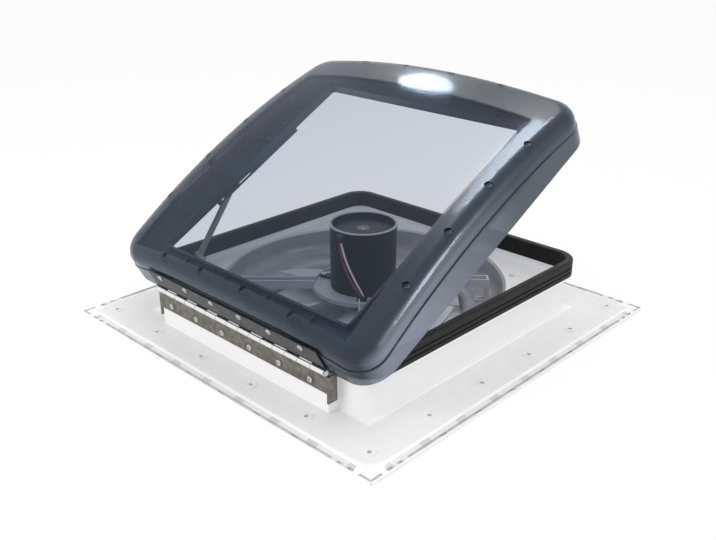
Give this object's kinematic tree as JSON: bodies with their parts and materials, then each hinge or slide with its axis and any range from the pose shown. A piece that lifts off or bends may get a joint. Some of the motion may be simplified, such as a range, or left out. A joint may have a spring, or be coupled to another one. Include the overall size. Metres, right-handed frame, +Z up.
{
  "type": "caravan roof vent",
  "caption": "Square roof vent with a flange, sealed collar, smoked lid on a long hinge, slotted stay arm and a fan on an upright motor.",
  "frame": {"origin": "centre of the roof opening, on the roof surface under the flange", "axes": "+Z up out of the roof, X along the lid's hinge, which lies on the -Y side, and the lid opens towards +Y"},
  "size_m": [0.524, 0.524, 0.3018],
  "materials": {
    "white_moulding": "glossy",
    "seal_rubber": "matte",
    "hinge_steel": "satin",
    "dark_leaf": "satin",
    "screw_steel": "satin",
    "dark_screw": "satin",
    "grey_moulding": "satin",
    "carrier_paint": "satin",
    "motor_paint": "satin",
    "magnet": "matte",
    "bush_brass": "satin",
    "black_moulding": "satin",
    "white_sheath": "satin",
    "red_sheath": "satin",
    "smoked_lid": "clear gloss",
    "dark_frame": "satin",
    "rail_moulding": "satin",
    "rotor_iron": "matte",
    "fan_moulding": "satin"
  },
  "bodies": {
    "base": {"base_frame": "white_moulding", "rubber_seal": "seal_rubber", "fixed_hinge_leaf": "hinge_steel", "hinge_pin": "hinge_steel", "fixed_leaf_screws": "screw_steel", "fan_shroud": "grey_moulding", "shroud_screws": "screw_steel", "motor_spider": "carrier_paint", "spider_screws": "screw_steel", "motor_can": "motor_paint", "motor_end_cap": "motor_paint", "motor_magnets": "magnet", "upper_bearing": "bush_brass", "lower_bearing": "bush_brass", "motor_screws": "screw_steel", "wire_outlet": "black_moulding", "white_wire": "white_sheath", "red_wire": "red_sheath", "terminal_block": "black_moulding", "stay_bracket": "hinge_steel", "stay_bracket_screws": "screw_steel", "stay_pivot_pin": "hinge_steel"},
    "lid": {"lid_dome": "smoked_lid", "lid_inner_frame": "dark_frame", "lid_frame_screws": "dark_screw", "lid_hinge_leaf": "dark_leaf", "lid_leaf_screws": "screw_steel", "stay_rail": "rail_moulding", "rail_screws": "screw_steel"},
    "stay": {"stay_arm": "hinge_steel", "stay_roller": "black_moulding"},
    "fan": {"motor_shaft": "hinge_steel", "motor_rotor": "rotor_iron", "fan_impeller": "fan_moulding", "fan_nut": "screw_steel"}
  },
  "joints": [
    {"name": "lid_hinge", "type": "hinge", "parent": "base", "child": "lid", "pos_m": [0, -0.212, 0.056], "axis": [1, 0, 0], "range_deg": [-28, 12]},
    {"name": "stay_swing", "type": "hinge", "parent": "base", "child": "stay", "pos_m": [-0.1805, -0.1267, 0.064], "axis": [1, 0, 0], "range_deg": [-51, 22]},
    {"name": "fan_spin", "type": "hinge", "parent": "base", "child": "fan", "pos_m": [0, 0, 0.06], "axis": [0, 0, 1], "continuous": true}
  ],
  "couplings": [
    {"joint": "stay_swing", "follows": "lid_hinge", "ratio": 1.813}
  ]
}
